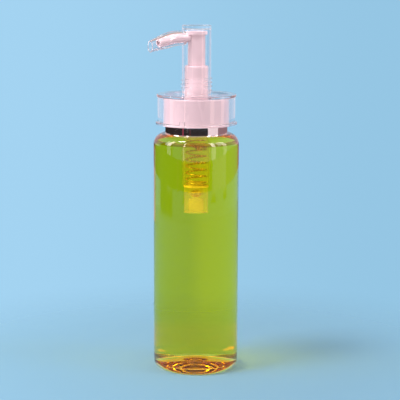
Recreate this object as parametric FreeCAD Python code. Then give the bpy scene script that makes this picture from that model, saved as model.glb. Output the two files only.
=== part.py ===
import FreeCAD
import Part
import math
import os

# Clear bottle of massage oil with a dispenser pump, as the separate pieces it is assembled from.
# Millimetres. The origin is the centre of the base, +Z is up and the nozzle points along -X.
# The pump is built from the inside out: the head sets the lock ring, which sets the neck and the closure.

Vector = FreeCAD.Vector
ORIGIN = Vector(0, 0, 0)
UP = Vector(0, 0, 1)

# Bottle
BOTTLE_R = 22.5
BOTTLE_WALL = 1.4
SHOULDER_Z = 126.8
SHOULDER_ROUND = 5.8
SHOULDER_THICK = 4.0
SHOULDER_INNER_ROUND = 1.2
BASE_ROUND = 4.4
BASE_THICK = 3.4
FLOOR_ROUND = 2.2
FLOOR_RISE = 4.8
PUSH_UP = 6.4
FOOT_WIDTH = 1.5
DIMPLE_R = 6.0
DIMPLE_RISE = 1.6
NECK_WALL = 1.75
NECK_HEIGHT = 14.05
NECK_ROOT_ROUND = 1.0
MOUTH_ROUND = 0.5
BEAD_OUT = 1.3
BEAD_HEIGHT = 1.6

# Oil
OIL_RISE = 0.6
OIL_GAP = 0.05
OIL_CLEAR = 0.4

# Trim ring on the shoulder
RING_HEIGHT = 4.4
RING_OUT = 3.7
RING_WALL = 0.7
RING_TOP_THICK = 0.8
RING_FIT = 0.1
RING_ROUND = 0.4

# Closure, its clear cover and the gasket
CLOSURE_GAP = 0.25
CLOSURE_WALL = 1.1
CLOSURE_PLATE = 1.3
CLOSURE_ROUND = 0.5
SKIRT_WALL = 1.15
SKIRT_SPACE = 1.0
SKIRT_RISE = 0.6
THREAD_ROOM = 1.55
COVER_FIT = 0.1
COVER_WALL = 2.95
COVER_TOP = 1.8
LIP_OUT = 0.45
LIP_HEIGHT = 1.3
LIP_ROUND = 0.3
RIM_OUT = 0.95
RIM_HEIGHT = 1.4
RIM_ROUND = 0.5
GATE_WIDTH = 2.7
GATE_HEIGHT = 3.0
GATE_OUT = 0.15
GATE_ANGLE = 222.7
GASKET_THICK = 1.0
GASKET_MARGIN = 0.3

# Pump housing
CUP_WALL = 1.1
CUP_FLOOR = 1.2
CUP_ROUND = 1.2
NECK_FIT = 0.3
FLANGE_THICK = 1.2
FLANGE_OVERHANG = 0.4
CHAMBER_BORE_R = 4.4
CHAMBER_WALL = 0.75
CHAMBER_DEPTH = 32.8
DRAFT_STEP = 0.15
DRAFT_STEP_RISE = 10.75
CONE_ABOVE = 2.4
CONE_BELOW = 0.8
SOCKET_DEPTH = 7.3
SOCKET_WALL = 1.73
INLET_R = 1.3
INLET_LENGTH = 1.2
SEAT_RISE = 0.9
VENT_R = 0.6

# Lock ring
LOCK_CLEAR = 0.75
LOCK_WALL = 1.0
LOCK_FLOOR = 1.2
LOCK_FLANGE_OUT = 2.1
LOCK_FLANGE_THICK = 1.0

# Dip tube
DIP_R = 2.6
DIP_WALL = 0.9
DIP_FLOOR_GAP = 2.0
DIP_SLANT = 35.0

# Inlet valve
BALL_R = 2.0
BALL_ROOM = 0.6
BALL_LIFT = 1.2
CAGE_THICK = 0.8
CAGE_PILOT_HEIGHT = 1.8
CAGE_PILOT_WALL = 0.8
CAGE_HOLE_R = 1.2
CAGE_SLOT_WIDTH = 1.0
CAGE_SLOT_COUNT = 3

# Return spring
SPRING_WIRE = 0.8
SPRING_CLEAR = 0.4
SPRING_TURNS = 8.25
SPRING_END_PITCH = 1.3
SPRING_RAMP = 0.5

# Piston, stem and plug
STROKE = 12.0
STOP_GAP = 0.4
PISTON_HEIGHT = 5.0
PISTON_FLOAT = 0.8
PISTON_FIT = 0.04
PISTON_WEB = 0.8
PISTON_LIP = 0.5
PISTON_FLARE = 0.8
STEM_R = 3.4
STEM_NECK_R = 2.9
STEM_BORE_R = 1.6
STEM_IN_CORE = 12.5
PORT_R = 0.6
PORT_RISE = 0.9
PLUG_SEAT_THICK = 1.5
PLUG_PILOT_HEIGHT = 2.5
PLUG_SHAFT_LENGTH = 6.0
PLUG_TONGUE = 1.5
PILOT_CLEAR = 0.2

# Head: clear shell, coloured core and outlet tube
SHELL_R = 7.65
SHELL_WALL = 1.25
SHELL_HEIGHT = 38.4
SHELL_TOP = 1.8
SHELL_ROUND = 0.6
CORE_FIT = 0.1
CORE_LIFT = 0.2
CORE_SLEEVE_HEIGHT = 16.9
CORE_STEM_R = 4.58
CORE_FLANGE_R = 5.7
CORE_FLANGE_THICK = 1.7
CORE_TOP_GAP = 1.5
CORE_CAP = 0.8
CORE_ROUND = 0.4
NOZZLE_DROP = 6.7
NOZZLE_ROOT = 6.1
NOZZLE_ROOT_R = 3.75
NOZZLE_BELLY = 16.5
NOZZLE_BELLY_R = 4.05
NOZZLE_REACH = 26.8
NOZZLE_TIP_R = 3.0
NOZZLE_STRAIGHT = 10.2
NOZZLE_BEND_R = 21.8
NOZZLE_BEND = 16.4
NOZZLE_SECTIONS = 10
INSERT_R = 2.3
INSERT_WALL = 0.9
INSERT_SHORT = 4.7
INSERT_START = 1.8

# Fits shared by several pieces
SEAT_GAP = 0.05
PRESS_GAP = 0.02
RUN_FIT = 0.05
STEM_GUIDE = 0.1

# Radii that follow from the head outwards
lock_bore_r = SHELL_R + LOCK_CLEAR
lock_sleeve_r = lock_bore_r + LOCK_WALL
cup_bore_r = lock_sleeve_r + RUN_FIT
cup_r = cup_bore_r + CUP_WALL
neck_bore_r = cup_r + NECK_FIT
neck_r = neck_bore_r + NECK_WALL
bead_r = neck_r + BEAD_OUT
ring_bore_r = neck_r + RING_FIT
ring_r = ring_bore_r + RING_OUT
flange_r = neck_r + FLANGE_OVERHANG
skirt_bore_r = neck_r + THREAD_ROOM
skirt_r = skirt_bore_r + SKIRT_WALL
closure_bore_r = skirt_r + SKIRT_SPACE
closure_r = closure_bore_r + CLOSURE_WALL
cover_bore_r = closure_r + COVER_FIT
cover_r = cover_bore_r + COVER_WALL
rim_r = cover_r + RIM_OUT
lip_r = cover_r + LIP_OUT
lock_flange_r = lock_sleeve_r + LOCK_FLANGE_OUT

# Radii of the pump's working parts
chamber_r = CHAMBER_BORE_R + CHAMBER_WALL
socket_r = DIP_R + PRESS_GAP
foot_r = DIP_R + SOCKET_WALL
ball_bore_r = BALL_R + BALL_ROOM
spring_r = CHAMBER_BORE_R - SPRING_CLEAR - SPRING_WIRE / 2
pilot_r = spring_r - SPRING_WIRE / 2 - PILOT_CLEAR
piston_r = CHAMBER_BORE_R - PISTON_FIT
shell_bore_r = SHELL_R - SHELL_WALL
core_r = shell_bore_r - CORE_FIT

# Heights, stacked up from the shoulder
ring_top_z = SHOULDER_Z + RING_HEIGHT
skirt_z = ring_top_z + CLOSURE_GAP
neck_top_z = SHOULDER_Z + NECK_HEIGHT
gasket_z = neck_top_z + SEAT_GAP
flange_z = gasket_z + GASKET_THICK
flange_top_z = flange_z + FLANGE_THICK
plate_z = flange_top_z + SEAT_GAP
plate_top_z = plate_z + CLOSURE_PLATE
lock_flange_z = plate_top_z + SEAT_GAP
lock_top_z = lock_flange_z + LOCK_FLANGE_THICK
closure_top_z = lock_top_z + SEAT_GAP
cover_top_z = closure_top_z + COVER_TOP

# Heights of the head: its foot stands one stroke above the lock ring's floor
shell_z = closure_top_z - SEAT_GAP - LOCK_FLANGE_THICK / 2
lock_floor_top_z = shell_z - STROKE - STOP_GAP
lock_floor_z = lock_floor_top_z - LOCK_FLOOR
cup_floor_z = lock_floor_z - SEAT_GAP
shell_top_z = shell_z + SHELL_HEIGHT
core_z = shell_z + CORE_LIFT
core_step_z = core_z + CORE_SLEEVE_HEIGHT
core_top_z = shell_top_z - SHELL_TOP - CORE_TOP_GAP
stem_top_z = core_z + STEM_IN_CORE
nozzle_z = shell_top_z - NOZZLE_DROP

# Heights of the pump's working parts, down from the lock ring
piston_top_z = lock_floor_z - PISTON_FLOAT - STEM_GUIDE - SEAT_GAP
piston_z = piston_top_z - PISTON_HEIGHT
stem_step_z = piston_top_z + PISTON_FLOAT + SEAT_GAP
plug_top_z = piston_z - SEAT_GAP
plug_seat_z = plug_top_z - PLUG_SEAT_THICK
ledge_z = cup_floor_z - CHAMBER_DEPTH
cage_z = ledge_z + SEAT_GAP
cage_top_z = cage_z + CAGE_THICK
ball_seat_rise = math.sqrt(BALL_R ** 2 - INLET_R ** 2)
ball_z = cage_z - 2 * SEAT_GAP - BALL_LIFT - BALL_R
inlet_top_z = ball_z - ball_seat_rise - SEAT_GAP
socket_top_z = inlet_top_z - INLET_LENGTH
foot_z = socket_top_z - SOCKET_DEPTH

# Heights inside the bottle
oil_z = SHOULDER_Z + OIL_RISE
floor_centre_z = BASE_THICK + FLOOR_RISE
dip_z = floor_centre_z + DIP_FLOOR_GAP


def outline(corners):
    """Closed wire through (radius, height) corners; a third value rounds that corner off."""
    points = [Vector(corner[0], 0, corner[1]) for corner in corners]
    rounds = [corner[2] if len(corner) > 2 else 0 for corner in corners]
    starts = []
    ends = []
    arcs = []
    for index, point in enumerate(points):
        before = (points[index - 1] - point).normalize()
        after = (points[(index + 1) % len(points)] - point).normalize()
        if rounds[index] == 0:
            starts.append(point)
            ends.append(point)
            arcs.append(None)
            continue
        half = before.getAngle(after) / 2
        reach = rounds[index] / math.tan(half)
        inward = (before + after).normalize()
        middle = point + inward * (rounds[index] / math.sin(half) - rounds[index])
        starts.append(point + before * reach)
        ends.append(point + after * reach)
        arcs.append(middle)
    edges = []
    for index in range(len(points)):
        if arcs[index]:
            edges.append(Part.Arc(starts[index], arcs[index], ends[index]).toShape())
        following = starts[(index + 1) % len(points)]
        if ends[index].distanceToPoint(following) > 1e-6:
            edges.append(Part.LineSegment(ends[index], following).toShape())
    return Part.Wire(edges)


def lathe(corners):
    """Solid turned about the Z axis from one side of its section."""
    return Part.Face(outline(corners)).revolve(ORIGIN, UP, 360)


def ring(inner_r, outer_r, low_z, high_z):
    return lathe([(inner_r, low_z), (outer_r, low_z), (outer_r, high_z), (inner_r, high_z)])


def rod(radius, low_z, high_z):
    return Part.makeCylinder(radius, high_z - low_z, Vector(0, 0, low_z), UP)


def cross_hole(radius, height_z, reach, direction):
    return Part.makeCylinder(radius, reach, Vector(0, 0, height_z), direction)


def ball_radius(rim_radius, rise):
    """Radius of the ball whose cap has this rim and rises this far above it."""
    return (rim_radius ** 2 + rise ** 2) / (2 * rise)


def dome(rim_radius, rim_z, rise):
    """Ball with that cap on a rim at this height."""
    radius = ball_radius(rim_radius, rise)
    return Part.makeSphere(radius, Vector(0, 0, rim_z + rise - radius))


def dome_height(radius, rim_radius, rise):
    """Height of such a cap above its rim, this far from its middle."""
    ball = ball_radius(rim_radius, rise)
    return math.sqrt(ball ** 2 - radius ** 2) - ball + rise


def bottle_inside(gap):
    """Hollow of the bottle, drawn in by a gap."""
    radius = BOTTLE_R - BOTTLE_WALL - gap
    bore_r = neck_bore_r - gap
    floor_z = BASE_THICK + gap
    ceiling_z = SHOULDER_Z - SHOULDER_THICK - gap
    above_z = neck_top_z + MOUTH_ROUND
    corner_r = FLOOR_ROUND - gap
    hollow = lathe([
        (0, floor_z),
        (radius, floor_z, corner_r),
        (radius, ceiling_z, SHOULDER_INNER_ROUND - gap),
        (bore_r, ceiling_z, NECK_ROOT_ROUND + gap),
        (bore_r, above_z),
        (0, above_z),
    ])
    return hollow.cut(dome(radius - corner_r, floor_z, FLOOR_RISE))


def make_bottle():
    foot_out_r = BOTTLE_R - BASE_ROUND
    body = lathe([
        (0, 0),
        (BOTTLE_R, 0, BASE_ROUND),
        (BOTTLE_R, SHOULDER_Z, SHOULDER_ROUND),
        (bead_r, SHOULDER_Z),
        (bead_r, SHOULDER_Z + BEAD_HEIGHT),
        (neck_r, SHOULDER_Z + BEAD_HEIGHT),
        (neck_r, neck_top_z, MOUTH_ROUND),
        (0, neck_top_z),
    ])
    foot_in_r = foot_out_r - FOOT_WIDTH
    push_up = dome(foot_in_r, 0, PUSH_UP)
    dimple = dome(DIMPLE_R, dome_height(DIMPLE_R, foot_in_r, PUSH_UP), DIMPLE_RISE)
    return body.cut(bottle_inside(0)).cut(push_up).cut(dimple)


def make_oil():
    body = bottle_inside(OIL_GAP).common(rod(BOTTLE_R, 0, oil_z))
    above_z = oil_z + OIL_CLEAR
    pump_space = rod(chamber_r + OIL_CLEAR, ledge_z - CONE_BELOW - OIL_CLEAR, above_z)
    foot_space = rod(foot_r + OIL_CLEAR, foot_z - OIL_CLEAR, above_z)
    dip_space = rod(DIP_R + OIL_CLEAR, dip_z - OIL_CLEAR, above_z)
    return body.cut(pump_space).cut(foot_space).cut(dip_space)


def make_neck_ring():
    low_z = SHOULDER_Z
    ceiling_z = ring_top_z - RING_TOP_THICK
    return lathe([
        (ring_r - RING_WALL, low_z),
        (ring_r, low_z),
        (ring_r, ring_top_z, RING_ROUND),
        (ring_bore_r, ring_top_z),
        (ring_bore_r, ceiling_z),
        (ring_r - RING_WALL, ceiling_z),
    ])


def make_closure():
    hole_r = lock_sleeve_r + STEM_GUIDE
    recess_r = lock_flange_r + LOCK_CLEAR
    thread_z = skirt_z + SKIRT_RISE
    return lathe([
        (hole_r, plate_z),
        (hole_r, plate_top_z),
        (recess_r, plate_top_z),
        (recess_r, closure_top_z),
        (closure_r, closure_top_z, CLOSURE_ROUND),
        (closure_r, skirt_z),
        (closure_bore_r, skirt_z),
        (closure_bore_r, plate_z),
        (skirt_r, plate_z),
        (skirt_r, thread_z),
        (skirt_bore_r, thread_z),
        (skirt_bore_r, plate_z),
    ])


def make_collar_cover():
    hole_r = lock_bore_r + RUN_FIT
    shell = lathe([
        (hole_r, closure_top_z),
        (cover_bore_r, closure_top_z),
        (cover_bore_r, skirt_z),
        (rim_r, skirt_z),
        (rim_r, skirt_z + RIM_HEIGHT, RIM_ROUND),
        (cover_r, skirt_z + RIM_HEIGHT),
        (cover_r, cover_top_z - LIP_HEIGHT),
        (lip_r, cover_top_z - LIP_HEIGHT),
        (lip_r, cover_top_z, LIP_ROUND),
        (hole_r, cover_top_z),
    ])
    depth = COVER_WALL / 2 + GATE_OUT
    corner = Vector(rim_r + GATE_OUT - depth, -GATE_WIDTH / 2, skirt_z)
    gate = Part.makeBox(depth, GATE_WIDTH, GATE_HEIGHT, corner)
    gate.rotate(ORIGIN, UP, GATE_ANGLE)
    return shell.fuse(gate).removeSplitter()


def make_gasket():
    return ring(cup_r + RING_FIT, neck_r + GASKET_MARGIN, gasket_z, flange_z)


def make_pump_housing():
    body = lathe([
        (cup_bore_r, flange_top_z),
        (flange_r, flange_top_z),
        (flange_r, flange_z),
        (cup_r, flange_z),
        (cup_r, cup_floor_z - CUP_FLOOR, CUP_ROUND),
        (chamber_r, cup_floor_z - CUP_FLOOR),
        (chamber_r, ledge_z + DRAFT_STEP_RISE),
        (chamber_r - DRAFT_STEP, ledge_z + DRAFT_STEP_RISE),
        (chamber_r - DRAFT_STEP, ledge_z + CONE_ABOVE),
        (foot_r, ledge_z - CONE_BELOW),
        (foot_r, foot_z),
        (socket_r, foot_z),
        (socket_r, socket_top_z),
        (INLET_R, socket_top_z),
        (INLET_R, inlet_top_z),
        (ball_bore_r, inlet_top_z + SEAT_RISE),
        (ball_bore_r, ledge_z),
        (CHAMBER_BORE_R, ledge_z),
        (CHAMBER_BORE_R, cup_floor_z),
        (cup_bore_r, cup_floor_z),
    ])
    vent_z = piston_z + PISTON_HEIGHT / 2
    return body.cut(cross_hole(VENT_R, vent_z, chamber_r + CUP_WALL, Vector(0, 1, 0)))


def make_lock_ring():
    guide_r = STEM_R + STEM_GUIDE
    return lathe([
        (lock_bore_r, lock_top_z),
        (lock_flange_r, lock_top_z),
        (lock_flange_r, lock_flange_z),
        (lock_sleeve_r, lock_flange_z),
        (lock_sleeve_r, lock_floor_z),
        (guide_r, lock_floor_z),
        (guide_r, lock_floor_top_z),
        (lock_bore_r, lock_floor_top_z),
    ])


def make_dip_tube():
    tube = ring(DIP_R - DIP_WALL, DIP_R, dip_z, socket_top_z - SEAT_GAP)
    side = 4 * DIP_R
    wedge = Part.makeBox(side, side, side, Vector(-DIP_R, -side / 2, dip_z - side))
    wedge.rotate(Vector(-DIP_R, 0, dip_z), Vector(0, -1, 0), DIP_SLANT)
    return tube.cut(wedge)


def make_inlet_ball():
    return Part.makeSphere(BALL_R, Vector(0, 0, ball_z))


def make_ball_cage():
    pilot_top_z = cage_top_z + CAGE_PILOT_HEIGHT
    pilot_bore_r = pilot_r - CAGE_PILOT_WALL
    seat = lathe([
        (CAGE_HOLE_R, cage_z),
        (CHAMBER_BORE_R - RUN_FIT, cage_z),
        (CHAMBER_BORE_R - RUN_FIT, cage_top_z),
        (pilot_r, cage_top_z),
        (pilot_r, pilot_top_z),
        (pilot_bore_r, pilot_top_z),
        (CAGE_HOLE_R, cage_top_z),
    ])
    slot_corner = Vector(0, -CAGE_SLOT_WIDTH / 2, cage_z - SEAT_GAP)
    slot = Part.makeBox(pilot_bore_r, CAGE_SLOT_WIDTH, CAGE_THICK + 2 * SEAT_GAP, slot_corner)
    for turn in range(CAGE_SLOT_COUNT):
        turned = slot.copy()
        turned.rotate(ORIGIN, UP, turn * 360 / CAGE_SLOT_COUNT)
        seat = seat.cut(turned)
    return seat


def spring_pitch():
    """Pitch of the working coils, from the room between the seats and the closer end coils."""
    room = plug_seat_z - cage_top_z - 2 * SEAT_GAP - SPRING_WIRE
    end_share = 2 + SPRING_RAMP
    working_turns = SPRING_TURNS - 2 - SPRING_RAMP
    return (room - SPRING_END_PITCH * end_share) / working_turns


def spring_rise(turn):
    """Height above the first point after so many turns, and the pitch there."""
    steep = spring_pitch()
    if turn > SPRING_TURNS / 2:
        height, pitch = spring_rise(SPRING_TURNS - turn)
        room = plug_seat_z - cage_top_z - 2 * SEAT_GAP - SPRING_WIRE
        return room - height, pitch
    if turn <= 1:
        return SPRING_END_PITCH * turn, SPRING_END_PITCH
    part = min(turn - 1, SPRING_RAMP)
    pitch = SPRING_END_PITCH + (steep - SPRING_END_PITCH) * part / SPRING_RAMP
    height = SPRING_END_PITCH + part * (SPRING_END_PITCH + pitch) / 2
    return height + steep * (turn - 1 - part), pitch


def spring_point(turn):
    """Point of the wire's centre line and its direction there; the coil is wound left-handed."""
    angle = -2 * math.pi * turn
    height, pitch = spring_rise(turn)
    low_z = cage_top_z + SEAT_GAP + SPRING_WIRE / 2
    point = Vector(spring_r * math.cos(angle), spring_r * math.sin(angle), low_z + height)
    climb = pitch / (2 * math.pi * spring_r)
    return point, Vector(math.sin(angle), -math.cos(angle), climb).normalize()


def tangent_arc(start, direction, end):
    """Arc that leaves the start in a direction and passes through the end."""
    chord = end - start
    half = chord.getAngle(direction)
    side = (direction - chord * (direction.dot(chord) / chord.dot(chord))).normalize()
    sag = chord.Length / 2 * math.tan(half / 2)
    return Part.Arc(start, start + chord / 2 + side * sag, end).toShape()


def biarc(start, leave, end, arrive):
    """Two tangent arcs between two points with set directions."""
    chord = end - start
    both = leave + arrive
    spread = 2 * (1 - leave.dot(arrive))
    along = chord.dot(both)
    reach = (math.sqrt(along ** 2 + spread * chord.dot(chord)) - along) / spread
    meet = (start + leave * reach + end - arrive * reach) / 2
    first = tangent_arc(start, leave, meet)
    last = tangent_arc(end, arrive * -1, meet)
    return [first, Part.Edge(last.reversed())]


def make_return_spring():
    steps = int(round(SPRING_TURNS * 4))
    stations = [spring_point(SPRING_TURNS * step / steps) for step in range(steps + 1)]
    edges = []
    for (start, leave), (end, arrive) in zip(stations, stations[1:]):
        edges += biarc(start, leave, end, arrive)
    path = Part.Wire(edges)
    start, leave = stations[0]
    section = Part.Wire(Part.makeCircle(SPRING_WIRE / 2, start, leave))
    print_spring_gap()
    return path.makePipeShell([section], True, False)


def print_spring_gap():
    """Least gap between the wire and itself, measured on points of its centre line."""
    per_turn = 48
    count = int(SPRING_TURNS * per_turn)
    points = [spring_point(step / per_turn)[0] for step in range(count + 1)]
    gap = min(
        points[first].distanceToPoint(points[second])
        for first in range(count + 1)
        for second in range(first + per_turn // 2, min(first + 2 * per_turn, count + 1))
    )
    print("return_spring least gap to itself, mm:", round(gap - SPRING_WIRE, 3))


def make_piston():
    bore_r = STEM_NECK_R + RUN_FIT
    web_r = bore_r + PISTON_WEB
    return lathe([
        (bore_r, piston_z),
        (piston_r, piston_z),
        (piston_r, piston_z + PISTON_LIP),
        (web_r, piston_z + PISTON_LIP + PISTON_FLARE),
        (web_r, piston_top_z - PISTON_LIP - PISTON_FLARE),
        (piston_r, piston_top_z - PISTON_LIP),
        (piston_r, piston_top_z),
        (bore_r, piston_top_z),
    ])


def make_stem():
    tube = lathe([
        (STEM_BORE_R, plug_top_z),
        (STEM_NECK_R, plug_top_z),
        (STEM_NECK_R, stem_step_z),
        (STEM_R, stem_step_z),
        (STEM_R, stem_top_z - SEAT_GAP),
        (STEM_BORE_R, stem_top_z - SEAT_GAP),
    ])
    port_z = plug_top_z + PORT_RISE
    for direction in (Vector(1, 0, 0), Vector(-1, 0, 0)):
        tube = tube.cut(cross_hole(PORT_R, port_z, STEM_R, direction))
    return tube


def make_stem_plug():
    shaft_r = STEM_BORE_R - PRESS_GAP
    shaft_top_z = plug_top_z + PLUG_SHAFT_LENGTH
    plug = lathe([
        (0, plug_seat_z - PLUG_PILOT_HEIGHT),
        (pilot_r, plug_seat_z - PLUG_PILOT_HEIGHT, PILOT_CLEAR),
        (pilot_r, plug_seat_z),
        (spring_r + PILOT_CLEAR, plug_seat_z),
        (spring_r + PILOT_CLEAR, plug_top_z),
        (0, plug_top_z),
    ])
    shaft = rod(shaft_r, plug_top_z, shaft_top_z)
    tongue_corner = Vector(-PLUG_TONGUE / 2, -shaft_r, plug_top_z)
    tongue = Part.makeBox(PLUG_TONGUE, 2 * shaft_r, PLUG_SHAFT_LENGTH, tongue_corner)
    return plug.fuse(shaft.common(tongue)).removeSplitter()


def nozzle_lean(reach):
    """Angle by which the nozzle's centre line points down this far out from the pump's axis."""
    around = (reach - NOZZLE_STRAIGHT) / NOZZLE_BEND_R
    return math.asin(min(max(around, 0), math.sin(math.radians(NOZZLE_BEND))))


def nozzle_point(reach):
    """Point of that centre line: a straight root, a bend and a straight end."""
    lean = nozzle_lean(reach)
    bend_reach = NOZZLE_STRAIGHT + NOZZLE_BEND_R * math.sin(lean)
    drop = NOZZLE_BEND_R * (1 - math.cos(lean))
    if reach > bend_reach:
        drop += (reach - bend_reach) * math.tan(lean)
    return Vector(-reach, 0, nozzle_z - drop)


def nozzle_circle(radius, reach):
    """Circle square to the nozzle's centre line."""
    lean = nozzle_lean(reach)
    direction = Vector(-math.cos(lean), 0, -math.sin(lean))
    return Part.Wire(Part.makeCircle(radius, nozzle_point(reach), direction))


def ease(value):
    """Smooth step from 0 to 1, level at both ends."""
    share = min(max(value, 0), 1)
    return share * share * (3 - 2 * share)


def nozzle_r(reach):
    """Radius of the nozzle, which swells from its root to a belly and narrows to its tip."""
    swell = ease((reach - NOZZLE_ROOT) / (NOZZLE_BELLY - NOZZLE_ROOT))
    narrow = ease((reach - NOZZLE_BELLY) / (NOZZLE_REACH - NOZZLE_BELLY))
    fuller = NOZZLE_ROOT_R + (NOZZLE_BELLY_R - NOZZLE_ROOT_R) * swell
    return fuller - (NOZZLE_BELLY_R - NOZZLE_TIP_R) * narrow


def outlet_rod(radius, start_reach, reach):
    """Solid rod along the nozzle's centre line, from inside the core outwards."""
    bend_reach = NOZZLE_STRAIGHT + NOZZLE_BEND_R * math.sin(math.radians(NOZZLE_BEND))
    middle_reach = (NOZZLE_STRAIGHT + bend_reach) / 2
    start = nozzle_point(start_reach)
    bend = [nozzle_point(value) for value in (NOZZLE_STRAIGHT, middle_reach, bend_reach)]
    path = Part.Wire([
        Part.LineSegment(start, bend[0]).toShape(),
        Part.Arc(*bend).toShape(),
        Part.LineSegment(bend[2], nozzle_point(reach)).toShape(),
    ])
    return path.makePipeShell([nozzle_circle(radius, start_reach)], True, False)


def make_actuator_shell():
    ceiling_z = shell_top_z - SHELL_TOP
    body = lathe([
        (shell_bore_r, shell_z),
        (SHELL_R, shell_z),
        (SHELL_R, shell_top_z, SHELL_ROUND),
        (0, shell_top_z),
        (0, ceiling_z),
        (shell_bore_r, ceiling_z, SHELL_ROUND),
    ])
    overrun = NOZZLE_REACH + NOZZLE_TIP_R
    step = (overrun - NOZZLE_ROOT) / (NOZZLE_SECTIONS - 1)
    reaches = [NOZZLE_ROOT + step * index for index in range(NOZZLE_SECTIONS)]
    nozzle = Part.makeLoft([nozzle_circle(nozzle_r(reach), reach) for reach in reaches], True)
    tip_corner = Vector(-2 * overrun, -overrun, nozzle_z - overrun)
    beyond_tip = Part.makeBox(2 * overrun - NOZZLE_REACH, 2 * overrun, 2 * overrun, tip_corner)
    bore = rod(shell_bore_r, shell_z, nozzle_z + NOZZLE_ROOT_R)
    outlet = outlet_rod(INSERT_R + RUN_FIT, INSERT_START, overrun)
    return body.fuse(nozzle.cut(beyond_tip)).cut(bore).cut(outlet).removeSplitter()


def make_actuator_core():
    flange_low_z = core_top_z - CORE_FLANGE_THICK
    socket_bore_r = STEM_R + RUN_FIT
    body = lathe([
        (socket_bore_r, core_z),
        (core_r, core_z),
        (core_r, core_step_z, CORE_ROUND),
        (CORE_STEM_R, core_step_z),
        (CORE_STEM_R, flange_low_z),
        (CORE_FLANGE_R, flange_low_z),
        (CORE_FLANGE_R, core_top_z),
        (0, core_top_z),
        (0, core_top_z - CORE_CAP),
        (STEM_BORE_R, core_top_z - CORE_CAP),
        (STEM_BORE_R, stem_top_z),
        (socket_bore_r, stem_top_z),
    ])
    outlet = cross_hole(INSERT_R + RUN_FIT, nozzle_z, SHELL_R, Vector(-1, 0, 0))
    return body.cut(outlet)


def make_nozzle_insert():
    reach = NOZZLE_REACH - INSERT_SHORT
    solid = outlet_rod(INSERT_R, INSERT_START, reach)
    return solid.cut(outlet_rod(INSERT_R - INSERT_WALL, INSERT_START, reach))


PIECES = {
    "bottle": make_bottle,
    "oil": make_oil,
    "neck_ring": make_neck_ring,
    "closure": make_closure,
    "collar_cover": make_collar_cover,
    "gasket": make_gasket,
    "pump_housing": make_pump_housing,
    "lock_ring": make_lock_ring,
    "dip_tube": make_dip_tube,
    "inlet_ball": make_inlet_ball,
    "ball_cage": make_ball_cage,
    "return_spring": make_return_spring,
    "piston": make_piston,
    "stem": make_stem,
    "stem_plug": make_stem_plug,
    "actuator_shell": make_actuator_shell,
    "actuator_core": make_actuator_core,
    "nozzle_insert": make_nozzle_insert,
}

os.makedirs("parts", exist_ok=True)
for name, make in PIECES.items():
    shape = make()
    print(name, shape.isValid(), len(shape.Solids), round(shape.Volume, 1))
    shape.exportStep("parts/" + name + ".step")
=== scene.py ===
import math

import bmesh
import bpy
from mathutils import Matrix, Vector


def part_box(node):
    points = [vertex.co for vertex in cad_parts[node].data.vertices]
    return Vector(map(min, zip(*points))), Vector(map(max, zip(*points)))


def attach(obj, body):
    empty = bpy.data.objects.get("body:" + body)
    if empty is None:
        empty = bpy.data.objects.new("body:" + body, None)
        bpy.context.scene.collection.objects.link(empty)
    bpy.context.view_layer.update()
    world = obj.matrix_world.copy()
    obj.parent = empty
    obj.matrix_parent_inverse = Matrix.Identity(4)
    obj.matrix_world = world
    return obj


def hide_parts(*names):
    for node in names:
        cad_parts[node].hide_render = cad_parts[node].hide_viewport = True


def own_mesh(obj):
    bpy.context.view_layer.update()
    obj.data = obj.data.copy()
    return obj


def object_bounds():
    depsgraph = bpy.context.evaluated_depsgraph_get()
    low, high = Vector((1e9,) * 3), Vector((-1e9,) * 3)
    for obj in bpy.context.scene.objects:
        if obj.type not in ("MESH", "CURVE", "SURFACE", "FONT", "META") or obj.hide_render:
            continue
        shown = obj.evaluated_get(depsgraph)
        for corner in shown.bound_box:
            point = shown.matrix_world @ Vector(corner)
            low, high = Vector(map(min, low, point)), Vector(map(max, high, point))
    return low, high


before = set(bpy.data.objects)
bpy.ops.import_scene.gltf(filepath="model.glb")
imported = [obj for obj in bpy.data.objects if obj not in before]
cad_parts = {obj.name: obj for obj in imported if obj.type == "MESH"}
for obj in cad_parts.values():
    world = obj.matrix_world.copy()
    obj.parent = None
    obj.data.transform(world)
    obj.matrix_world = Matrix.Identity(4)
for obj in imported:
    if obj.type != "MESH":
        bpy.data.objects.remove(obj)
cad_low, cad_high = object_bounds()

# Clear bottle of golden oil with a dispenser pump: clear plastic, pink core, chrome ring.
# Metres and degrees. The nozzle points along -X, and the camera stands to that side of the front.

MM = 0.001
UP = Vector((0, 0, 1))

# Camera, fitted to the photograph
IMAGE_PX = 400
FOCAL_PX = 1501.65
SENSOR_WIDTH = 36.0
CAMERA_AZIMUTH = -27.0
CAMERA_DISTANCE = 0.7875
CAMERA_HEIGHT = 0.2216
CAMERA_PITCH = 9.435
CAMERA_YAW = 0.152
CAMERA_ROLL = 0.228
CAMERA_CLIP = 0.01

# Bottle
WALL = 1.4 * MM
SHOULDER_ROUND = 5.8 * MM
SHOULDER_THICK = 4.0 * MM
SHOULDER_INNER_ROUND = 1.2 * MM
BASE_ROUND = 4.4 * MM
BASE_THICK = 3.4 * MM
INNER_FLOOR_ROUND = 2.2 * MM
INNER_FLOOR_RISE = 4.8 * MM
PUSH_UP = 6.4 * MM
FOOT_WIDTH = 1.5 * MM
DIMPLE_R = 6.0 * MM
DIMPLE_RISE = 1.6 * MM
NECK_R = 12.6 * MM
NECK_BORE_R = 10.85 * MM
NECK_ROOT_ROUND = 1.0 * MM
MOUTH_ROUND = 0.5 * MM
BEAD_R = 13.9 * MM
BEAD_HEIGHT = 1.6 * MM

# Oil: a skin parts it from the bottle, and a film on it carries its top face
SKIN = 0.02 * MM
FILM = 0.3 * MM
FILM_LIFT = SKIN / 4
EDGE_DRY = 0.12 * MM
MENISCUS_RISE = 0.7 * MM
MENISCUS_REACH = 2.2 * MM
MENISCUS_CURVE = 2.2
MENISCUS_STEPS = 16

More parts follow.
